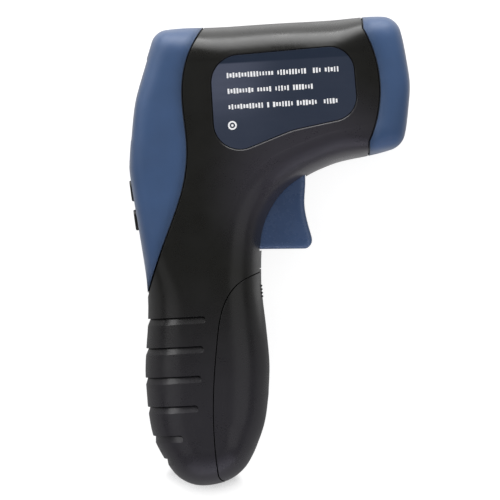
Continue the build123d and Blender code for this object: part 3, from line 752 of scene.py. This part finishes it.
def add_piece(name: str, mesh: bpy.types.Mesh, body: str, smooth: bool = False) -> None:
    """Put a finished mesh into the scene as a piece of the object.

    Args:
        name: Name of the piece.
        mesh: Its mesh, in place.
        body: Body that it moves with.
        smooth: Whether its faces are shaded smooth.
    """
    mesh.name = name
    for polygon in mesh.polygons:
        polygon.use_smooth = smooth
    piece = bpy.data.objects.new(name, mesh)
    bpy.context.scene.collection.objects.link(piece)
    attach(piece, body)
    log.info("piece %s: %d faces on %s", name, len(mesh.polygons), body)


def dress(finish: Material, *nodes: str) -> None:
    """Give CAD nodes a finish.

    Args:
        finish: Material to assign.
        *nodes: Names of the nodes.
    """
    for name in nodes:
        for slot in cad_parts[name].material_slots:
            slot.material = finish
        log.info("node %s: %s", name, finish.name)


# The case plastic gets painted light: a paler, purplish tone under the crook and towards the foot of the
# grip.
BLACK = MouldedPlastic(
    "case_plastic", (0.0074, 0.0073, 0.0062), Grain.SPARKED, 0.31, mottle=0.06, paler_colour=(0.06, 0.06, 0.062),
    edge_paling=0.12, edge=0.30, speckle=0.010, edge_shine=0.3, pale_tone=PaintedLight((0.0290, 0.0270, 0.0345)),
)
# The blue covers pale over a broad 6 mm edge mask: partly from use, partly a painted highlight along their
# rounded rims.
BLUE = MouldedPlastic(
    "cover_plastic", (0.0340, 0.0745, 0.1700), Grain.SPARKED, 0.43, paler_colour=(0.12, 0.19, 0.32), edge=6.0,
    speckle=0.02, sheen=0.20,
)
# The trigger's strong paling along its edges and round its rim is a painted highlight on its front and
# bottom edges.
TRIGGER_BLUE = MouldedPlastic(
    "trigger_plastic", (0.0350, 0.0690, 0.1560), Grain.SMOOTH, 0.26, paler_colour=(0.10, 0.15, 0.26), edge_paling=0.70,
    edge=0.4, speckle=0.008, shine=0.7, rim=1.7,
)
DARK = MouldedPlastic("dark_plastic", (0.0085, 0.0085, 0.009), Grain.SATIN, 0.38, paler_colour=(0.05, 0.05, 0.055))
PALE = MouldedPlastic("pale_plastic", (0.72, 0.72, 0.69), Grain.SMOOTH, 0.42, paler_colour=(0.80, 0.80, 0.78))
CHIP = MouldedPlastic("chip_plastic", (0.014, 0.014, 0.015), Grain.SATIN, 0.55, paler_colour=(0.08, 0.08, 0.08))
# The film's pale colour is painted reflection over its deep print colour.
FILM = FilmPlate("side_film", (0.015, 0.023, 0.042), (0.064, 0.074, 0.110))
WHITE_INK = Ink("white_ink", (0.95, 0.95, 0.95), (0.78, 0.79, 0.82))
SEGMENT_INK = Ink("segment_ink", (0.17, 0.19, 0.16), (0.20, 0.22, 0.19))
PANE = ClearPane("window_pane", (0.97, 0.98, 0.98), 1.49, (0.02, 0.08))
LENS = ClearPane("lens_glass", (0.95, 0.98, 0.97), 1.52, (0.008, 0.032))
STEEL = DrawnMetal("plated_steel", (0.62, 0.61, 0.59), (0.34, 0.33, 0.31), (0.182, 0.364), Drawing.ALONG_Z)
BRASS = DrawnMetal("turned_brass", (0.72, 0.52, 0.22), (0.40, 0.27, 0.11), (0.168, 0.336), Drawing.ALONG_X)
BOARD = Laminate("board_laminate", (0.010, 0.070, 0.022), (0.030, 0.150, 0.045))
DISPLAY = DisplayGlass("display_glass", (0.235, 0.262, 0.215), (0.205, 0.232, 0.190))
SLEEVE = BatterySleeve("battery_sleeve", (0.016, 0.017, 0.020), (0.52, 0.30, 0.055), -22.0, -30.0)
STRIP = Elastomer("strip_rubber", (0.022, 0.022, 0.024), (0.07, 0.07, 0.075))

Coats = tuple[tuple[Finish, tuple[str, ...]], ...]


@dataclass
class SubAssembly:
    """Group of CAD nodes, with the finishes that they get in turn."""

    coats: Coats = ()

    def dress(self) -> None:
        """Give the nodes their finishes."""
        for finish, nodes in self.coats:
            dress(finish.material(), *nodes)


@dataclass
class CaseShells(SubAssembly):
    """Both black halves of the case with their screws."""

    coats: Coats = ((BLACK, ("right_shell", "left_shell")), (STEEL, ("case_screws",)))


@dataclass
class BlueCovers(SubAssembly):
    """Blue rear cover and nose cap."""

    coats: Coats = ((BLUE, ("rear_cover", "nose_cap")),)


@dataclass
class GripDoor(SubAssembly):
    """Battery door with its pin and the thumb ribs on its front."""

    rib_count: int = 4
    rib_pitch: float = 1.2
    rib_length: float = 10.0
    rib_radius: float = 0.36
    rib_points: int = 18
    rib_sides: int = 10
    first_y: float = -10.7
    reach: float = 30.0

    def dress(self) -> None:
        """Give the door and its pin their finishes, and add the ribs."""
        finish = BLACK.material()
        dress(finish, "battery_door")
        dress(STEEL.material(), "door_pin")
        add_piece("thumb_ribs", self.ribs(finish), "door", smooth=True)

    def ribs(self, finish: Material) -> bpy.types.Mesh:
        """Ribs across the door, laid on its front by a ray from in front of it.

        Args:
            finish: Material of the ribs.

        Returns:
            The mesh of all ribs.
        """
        repeat = Repeat("thumb_ribs")
        target = repeat.take("Door", "Object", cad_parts["battery_door"])
        count = repeat.take("Count", "Int", self.rib_count)
        sizes = {"Pitch": self.rib_pitch, "Length": self.rib_length, "Radius": self.rib_radius}
        pitch, length, radius = repeat.lengths(**sizes)
        first = repeat.take("First", "Vector", (self.reach * MM, self.first_y * MM, MIDDLE * MM))
        down = repeat.vector(y=repeat.times(pitch, -1.0))
        rows = repeat.shape("MeshLine", Count=count, Start_Location=first, Offset=down)
        start, end = (repeat.vector(z=repeat.times(length, share)) for share in (-0.5, 0.5))
        bar = repeat.shape("CurvePrimitiveLine", Start=start, End=end)
        bar = repeat.shape("ResampleCurve", Curve=bar, Count=self.rib_points)
        bars = repeat.shape("InstanceOnPoints", Points=rows, Instance=bar)
        loose = repeat.shape("RealizeInstances", Geometry=bars)
        door = repeat.shape("ObjectInfo", "Geometry", Object=target)
        ray = {"Source_Position": repeat.shape("InputPosition"), "Ray_Direction": (-1.0, 0.0, 0.0)}
        ray["Ray_Length"] = 2 * self.reach * MM
        hit = repeat.shape("Raycast", "Hit Position", Target_Geometry=door, **ray)
        laid = repeat.shape("SetPosition", Geometry=loose, Position=hit)
        ring = repeat.shape("CurvePrimitiveCircle", Resolution=self.rib_sides, Radius=radius)
        tubes = repeat.shape("CurveToMesh", Curve=laid, Profile_Curve=ring, Fill_Caps=True)
        return repeat.mesh(tubes, finish)


@dataclass
class TriggerGroup(SubAssembly):
    """Trigger with its pin, spring and switch."""

    coats: Coats = (
        (TRIGGER_BLUE, ("trigger",)),
        (STEEL, ("trigger_pin", "trigger_spring")),
        (CHIP, ("trigger_switch",)),
        (PALE, ("switch_plunger",)),
    )


@dataclass
class PrintRow:
    """One row of tick marks: its left end, right end and middle line, and the seed of its gaps."""

    left: float
    right: float
    middle: float
    seed: int


@dataclass
class SidePlate(SubAssembly):
    """Plate on the right side with rows of plain tick marks and one ring."""

    coats: Coats = ((FILM, ("label_plate",)),)
    top: float = 39.75
    thickness: float = 0.03
    bar_width: float = 0.56
    bar_widths: Range = (0.75, 1.3)
    bar_height: float = 1.75
    low_height: float = 0.72
    low_chance: float = 0.45
    pitch: float = 1.0
    gap_share: float = 0.13
    ring_place: tuple[float, float] = (-12.4, 43.7)
    ring_radius: float = 1.5
    ring_width: float = 0.55
    ring_sides: int = 40
    dot_radius: float = 0.42
    dot_sides: int = 20
    rows: tuple[PrintRow, ...] = (
        PrintRow(-13.0, 24.8, 60.5, 3),
        PrintRow(-13.0, 15.5, 55.2, 8),
        PrintRow(-13.0, 23.0, 49.9, 14),
    )

    def dress(self) -> None:
        """Give the plate its finish and add the print."""
        super().dress()
        ink = WHITE_INK.material()
        for index, row in enumerate(self.rows):
            add_piece(f"print_row_{index + 1}", self.row(row, ink), "case")
        add_piece("print_ring", self.ring(ink), "case")

    def row(self, row: PrintRow, ink: Material) -> bpy.types.Mesh:
        """A row of upright marks of two heights, with gaps left by chance.

        Args:
            row: Where the row lies.
            ink: Material of the marks.

        Returns:
            The mesh of the row.
        """
        repeat = Repeat("tick_row")
        count = repeat.take("Count", "Int", int((row.right - row.left) / self.pitch) + 1)
        pitch, width = repeat.lengths(Pitch=self.pitch, Width=self.bar_width)
        height, depth = repeat.lengths(Height=self.bar_height, Thickness=self.thickness)
        gaps = repeat.take("Gap Share", "Float", self.gap_share)
        seed = repeat.take("Seed", "Int", row.seed)
        first = repeat.take("First", "Vector", (row.left * MM, row.middle * MM, self.top * MM))
        line = repeat.shape("MeshLine", Count=count, Start_Location=first, Offset=repeat.vector(pitch))
        feeds = {0: repeat.chance(0.0, 1.0, seed), 1: gaps}
        left_out = repeat.result("FunctionNodeCompare", feeds, operation="LESS_THAN")
        kept = repeat.shape("DeleteGeometry", Geometry=line, Selection=left_out)
        bar = repeat.shape("MeshCube", Size=repeat.vector(width, height, depth))
        draw = repeat.chance(0.0, 1.0, repeat.maths("ADD", seed, 1.0))
        rise = repeat.times(repeat.maths("GREATER_THAN", draw, self.low_chance), 1.0 - self.low_height)
        tall = repeat.maths("ADD", rise, self.low_height)
        wide = repeat.chance(*self.bar_widths, repeat.maths("ADD", seed, 2.0))
        scale = repeat.vector(wide, tall, 1.0)
        return repeat.mesh(repeat.shape("InstanceOnPoints", Points=kept, Instance=bar, Scale=scale), ink)

    def ring(self, ink: Material) -> bpy.types.Mesh:
        """A flat ring with a dot in its middle.

        Args:
            ink: Material of the ring.

        Returns:
            The mesh of the ring.
        """
        build = bmesh.new()
        turn = [2 * math.pi * side / self.ring_sides for side in range(self.ring_sides)]
        outer, inner, top = self.ring_radius, self.ring_radius - self.ring_width, self.thickness
        levels = []
        for reach, z in ((outer, 0.0), (outer, top), (inner, top)):
            corners = [(reach * math.cos(angle), reach * math.sin(angle), z) for angle in turn]
            levels.append([build.verts.new(corner) for corner in corners])
        for low, high in zip(levels, levels[1:]):
            for side in range(self.ring_sides):
                after = (side + 1) % self.ring_sides
                build.faces.new((low[side], low[after], high[after], high[side]))
        dot = {"segments": self.dot_sides, "radius": self.dot_radius}
        bmesh.ops.create_circle(build, cap_ends=True, matrix=Matrix.Translation((0, 0, top)), **dot)
        mesh = bpy.data.meshes.new("print_ring")
        build.to_mesh(mesh)
        build.free()
        mesh.transform(Matrix.Translation((*self.ring_place, self.top)))
        mesh.transform(Matrix.Scale(MM, 4))
        mesh.materials.append(ink)
        return mesh


@dataclass
class DisplayUnit(SubAssembly):
    """Display window, liquid-crystal glass and what carries them, with the unlit digits."""

    coats: Coats = (
        (PANE, ("display_window",)),
        (DISPLAY, ("lcd_glass",)),
        (DARK, ("lcd_frame",)),
        (PALE, ("lcd_reflector",)),
        (STRIP, ("contact_strips",)),
    )
    place: tuple[float, float] = (-43.1, 54.5)
    lean: float = 14.6
    glass_depth: float = 4.3
    digits: int = 5
    digit_height: float = 7.4
    digit_width: float = 3.5
    digit_pitch: float = 3.95
    bar: float = 0.62
    bar_share: float = 0.9
    thickness: float = 0.02
    slant: float = 0.08

    def dress(self) -> None:
        """Give the unit's nodes their finishes and add the digits."""
        super().dress()
        mesh = self.segments(SEGMENT_INK.material())
        mesh.transform(self.stand())
        add_piece("unlit_digits", mesh, "case")

    def stand(self) -> Matrix:
        """Matrix from the face's own axes, across, up and out, to the frame, for sizes in metres.

        Returns:
            The matrix.
        """
        angle = math.radians(self.lean)
        across, up = Vector((0, 0, 1)), Vector((math.sin(angle), math.cos(angle), 0))
        out = Vector((-math.cos(angle), math.sin(angle), 0))
        turn = Matrix((across, up, out)).transposed().to_4x4()
        origin = Vector((*self.place, MIDDLE)) * MM - out * self.glass_depth * MM
        return Matrix.Translation(origin) @ turn

    def segments(self, ink: Material) -> bpy.types.Mesh:
        """A row of plain seven-bar figures, all bars unlit.

        Args:
            ink: Material of the bars.

        Returns:
            The mesh of the digits, across, up and out of the glass.
        """
        repeat = Repeat("digit_row")
        count = repeat.take("Digits", "Int", self.digits)
        long, tall = self.digit_width - self.bar, self.digit_height - self.bar
        pitch, width, height = repeat.lengths(Pitch=self.digit_pitch, Width=long, Height=tall)
        bar, thick = repeat.lengths(Bar=self.bar, Thickness=self.thickness)
        joined = repeat.node("GeometryNodeJoinGeometry")
        half_width, half_height = repeat.times(width, 0.5), repeat.times(height, 0.5)
        slim = repeat.times(bar, self.bar_share)
        level = repeat.vector(repeat.maths("SUBTRACT", width, bar), slim, thick)
        upright = repeat.vector(slim, repeat.maths("SUBTRACT", half_height, bar), thick)
        places = [(level, 0.0, step) for step in (-1.0, 0.0, 1.0)]
        places += [(upright, side, step) for side in (-1.0, 1.0) for step in (-0.5, 0.5)]
        for size, side, step in places:
            blank = repeat.shape("MeshCube", Size=size)
            shift = repeat.vector(repeat.times(half_width, side), repeat.times(half_height, step))
            repeat.feed(joined.inputs[0], repeat.shape("Transform", Geometry=blank, Translation=shift))
        first = repeat.vector(repeat.times(pitch, repeat.maths("SUBTRACT", count, 1.0), -0.5))
        line = repeat.shape("MeshLine", Count=count, Start_Location=first, Offset=repeat.vector(pitch))
        row = repeat.shape("InstanceOnPoints", Points=line, Instance=joined.outputs[0])
        mesh = repeat.mesh(row, ink)
        shear = Matrix.Identity(4)
        shear[0][1] = self.slant
        mesh.transform(shear)
        return mesh


@dataclass
class KeyPad(SubAssembly):
    """Both keys, their switches and their board."""

    coats: Coats = ((DARK, ("upper_key", "lower_key")), (CHIP, ("key_switches",)), (BOARD, ("key_board",)))


@dataclass
class Optics(SubAssembly):
    """Front bezel, lens, laser, photodiode and the housing that holds them."""

    coats: Coats = (
        (DARK, ("front_bezel", "sensor_housing")),
        (LENS, ("receiving_lens",)),
        (BRASS, ("laser_module",)),
        (STEEL, ("photodiode",)),
        (BOARD, ("sensor_board",)),
    )


@dataclass
class Electronics(SubAssembly):
    """Main board with its parts, all board screws, and the power supply."""

    coats: Coats = (
        (BOARD, ("main_board",)),
        (CHIP, ("controller_chip", "capacitor")),
        (STEEL, ("crystal", "board_screws")),
        (SLEEVE, ("battery",)),
        (DARK, ("battery_snap",)),
    )


@dataclass
class Lamp:
    """Soft rectangular lamp, with its places and sides in metres.

    The fade is the share of the radiance left at the lamp's top edge. A lamp that isn't mirrored lights the
    object without a reflection of its own.
    """

    name: str
    place: Point
    aim: Point
    width: float
    height: float
    radiance: float
    tone: Colour = WHITE
    fade: float = 1.0
    mirrored: bool = True

    def add(self) -> None:
        """Put the lamp into the scene."""
        light = bpy.data.lights.new(self.name, "AREA")
        light.shape = "RECTANGLE"
        light.size, light.size_y = self.width, self.height
        light.energy = self.radiance * math.pi * self.width * self.height
        light.color = self.tone
        light.use_nodes = True
        tree = Tree(light.node_tree)
        across = tree.result("ShaderNodeNewGeometry", out="Parametric")
        up = tree.result("ShaderNodeSeparateXYZ", {0: across}, "Y")
        feeds = {"Value": up, "To Min": 1.0, "To Max": self.fade}
        tree.feed(tree.nodes["Emission"].inputs["Strength"], tree.result("ShaderNodeMapRange", feeds))
        lamp = bpy.data.objects.new(self.name, light)
        lamp.location = self.place
        lamp.rotation_euler = (Vector(self.aim) - Vector(self.place)).to_track_quat("-Z", "Y").to_euler()
        lamp.visible_camera = False
        lamp.visible_glossy = self.mirrored
        bpy.context.scene.collection.objects.link(lamp)


@dataclass
class Studio:
    """Pale floor, soft lamps, pale surroundings and the camera over the lying object."""

    camera_centre: tuple[float, float] = (-9.056, 1.623)
    camera_distance: float = 1.5
    camera_roll: float = 3.5
    camera_sensor: float = 36.0
    field_width: float = 170.0
    floor_side: float = 0.6
    floor_drop: float = 0.0003
    floor_colour: Colour = (0.30, 0.30, 0.30)
    floor_shadow: float = 0.99
    floor_tooth: Pattern = Pattern(2.5)
    floor_roughness: float = 0.9
    floor_glow: float = 0.87
    dim_colour: Colour = (0.05, 0.05, 0.05)
    dim_share: float = 0.18
    bright_from: float = 72.0
    bright_to: float = 97.0
    below_share: float = 0.55
    below_place: Point = (28.0, 4.0, 0.0)
    below_reach: Range = (18.0, 40.0)
    contact_reach: float = 14.0
    contact_room: Range = (0.10, 0.45)
    stand_place: Point = (-31.0, -84.0, 0.0)
    stand_reach: Range = (11.9, 17.0)
    stand_room: Range = (0.58, 0.84)
    stand_least: float = 0.35
    surround: float = 0.09
    surround_share: float = 0.02
    lamps: list[Lamp] = field(
        default_factory=lambda: [
            Lamp("key_box", (0.04, 0.75, 0.35), (0.04, 0.0, 0.35), 1.0, 0.90, 7.8, fade=0.06),
            Lamp("overhead", (0.0, 0.0, 1.25), (0.0, 0.0, 0.0), 1.4, 1.4, 1.15, mirrored=False),
            Lamp("low_fill", (0.08, -0.75, 0.40), (0.08, 0.0, 0.40), 1.2, 1.00, 0.60, COOL, 0.25),
            Lamp("nose_fill", (0.66, 0.0, 0.61), (0.0, 0.0, 0.02), 1.0, 0.75, 0.42),
            Lamp("rear_fill", (-0.71, -0.10, 0.56), (0.0, 0.0, 0.02), 0.8, 0.70, 0.32),
            Lamp("rear_box", (-0.594, 0.416, 0.368), (0.0, 0.0, 0.02), 0.60, 0.30, 3.0),
            Lamp("foot_fill", (0.05, -0.60, 0.02), (0.05, 0.0, 0.02), 1.0, 0.15, 9.0, mirrored=False),
        ]
    )

    def build(self) -> None:
        """Build the floor, the lamps, the surroundings and the camera."""
        self.camera()
        self.floor()
        for lamp in self.lamps:
            lamp.add()
        self.world()
        bpy.context.scene.view_settings.view_transform = "Standard"

    def camera(self) -> None:
        """Camera straight above the object, rolled as in the photograph."""
        data = bpy.data.cameras.new("camera")
        data.sensor_width = self.camera_sensor
        data.lens = self.camera_sensor * self.camera_distance / (self.field_width * MM)
        camera = bpy.data.objects.new("camera", data)
        x, y = self.camera_centre
        camera.location = (x * MM, y * MM, MIDDLE * MM + self.camera_distance)
        camera.rotation_euler = (0.0, 0.0, -math.radians(self.camera_roll))
        bpy.context.scene.collection.objects.link(camera)
        bpy.context.scene.camera = camera

    @staticmethod
    def seen(tree: Tree, mirrored: Any) -> Socket:
        """Value that is 1 for rays that show a background directly or through glass.

        Args:
            tree: Tree to build it in.
            mirrored: Value or socket for rays that show it in a reflection.

        Returns:
            The value socket.
        """
        path = tree.node("ShaderNodeLightPath").outputs
        dimmed = tree.times(path["Is Glossy Ray"], mirrored)
        return tree.larger(dimmed, path["Is Camera Ray"], path["Is Transmission Ray"])

    def mirrored_share(self, shade: Shade) -> Socket:
        """How bright reflections show the floor: full by the key lamp and under the barrel, dim elsewhere.

        Args:
            shade: Material of the floor.

        Returns:
            The value socket.
        """
        ahead = shade.ramp("Y", 0.0, 1.0, self.bright_from, self.bright_to)
        below = shade.near(self.below_place, *self.below_reach)
        return shade.larger(ahead, shade.times(below, self.below_share), self.dim_share)

    def painted_contact_shadow(self, shade: Shade) -> Socket:
        """Painted shadow in the floor's glow close under the object, reaching out a little further at its
        foot.

        Args:
            shade: Material of the floor.

        Returns:
            The value socket.
        """
        beyond = shade.maths("SUBTRACT", 1.0, shade.near(self.stand_place, *self.stand_reach))
        wide = shade.larger(beyond, self.stand_least, shade.open_share(self.contact_reach, self.stand_room))
        return shade.times(wide, shade.open_share(self.contact_reach, self.contact_room))

    def floor(self) -> None:
        """Plain pale floor that takes the object's shadow, with more painted shadow in its glow close under
        the object.
        """
        half = self.floor_side / 2
        mesh = bpy.data.meshes.new("floor")
        corners = ((-half, -half), (half, -half), (half, half), (-half, half))
        mesh.from_pydata([(x, y, -self.floor_drop) for x, y in corners], [], [(0, 1, 2, 3)])
        floor = bpy.data.objects.new("floor", mesh)
        bpy.context.scene.collection.objects.link(floor)
        shade = Shade("floor_paper")
        dark = tuple(c * self.floor_shadow for c in self.floor_colour)
        share = self.mirrored_share(shade)
        mirrored = shade.result("ShaderNodeLightPath", out="Is Glossy Ray")
        dimmed = shade.times(mirrored, shade.maths("SUBTRACT", 1.0, share))
        paper = shade.mix(shade.noise(self.floor_tooth), dark, self.floor_colour)
        shade.set(Base_Color=shade.mix(dimmed, paper, self.dim_colour), Roughness=self.floor_roughness)
        # The glow is dimmed by the painted shadow close under the object.
        strength = shade.times(self.seen(shade, share), self.painted_contact_shadow(shade), self.floor_glow)
        glow = shade.result("ShaderNodeEmission", {"Color": WHITE, "Strength": strength})
        both = shade.result("ShaderNodeAddShader", {0: shade.shader.outputs[0], 1: glow})
        shade.feed(shade.output.inputs["Surface"], both)
        mesh.materials.append(shade.material)

    def world(self) -> None:
        """Even dim surroundings that look white where a background shows."""
        world = bpy.data.worlds.new("surroundings")
        world.use_nodes = True
        tree = Tree(world.node_tree)
        shown = self.seen(tree, self.surround_share)
        feeds = {"Value": shown, "To Min": self.surround, "To Max": 1.0}
        background = tree.nodes["Background"]
        tree.feed(background.inputs["Color"], WHITE)
        tree.feed(background.inputs["Strength"], tree.result("ShaderNodeMapRange", feeds))
        bpy.context.scene.world = world


def main() -> None:
    """Build the studio, then each sub-assembly in turn."""
    logging.basicConfig(level=logging.INFO, format="%(name)s %(message)s")
    Studio().build()
    kinds: tuple[type[SubAssembly], ...] = (
        CaseShells, BlueCovers, GripDoor, TriggerGroup, SidePlate, DisplayUnit, KeyPad, Optics, Electronics
    )
    for kind in kinds:
        kind().dress()
        log.info("%s done", kind.__name__)


if __name__ == "__main__":
    main()
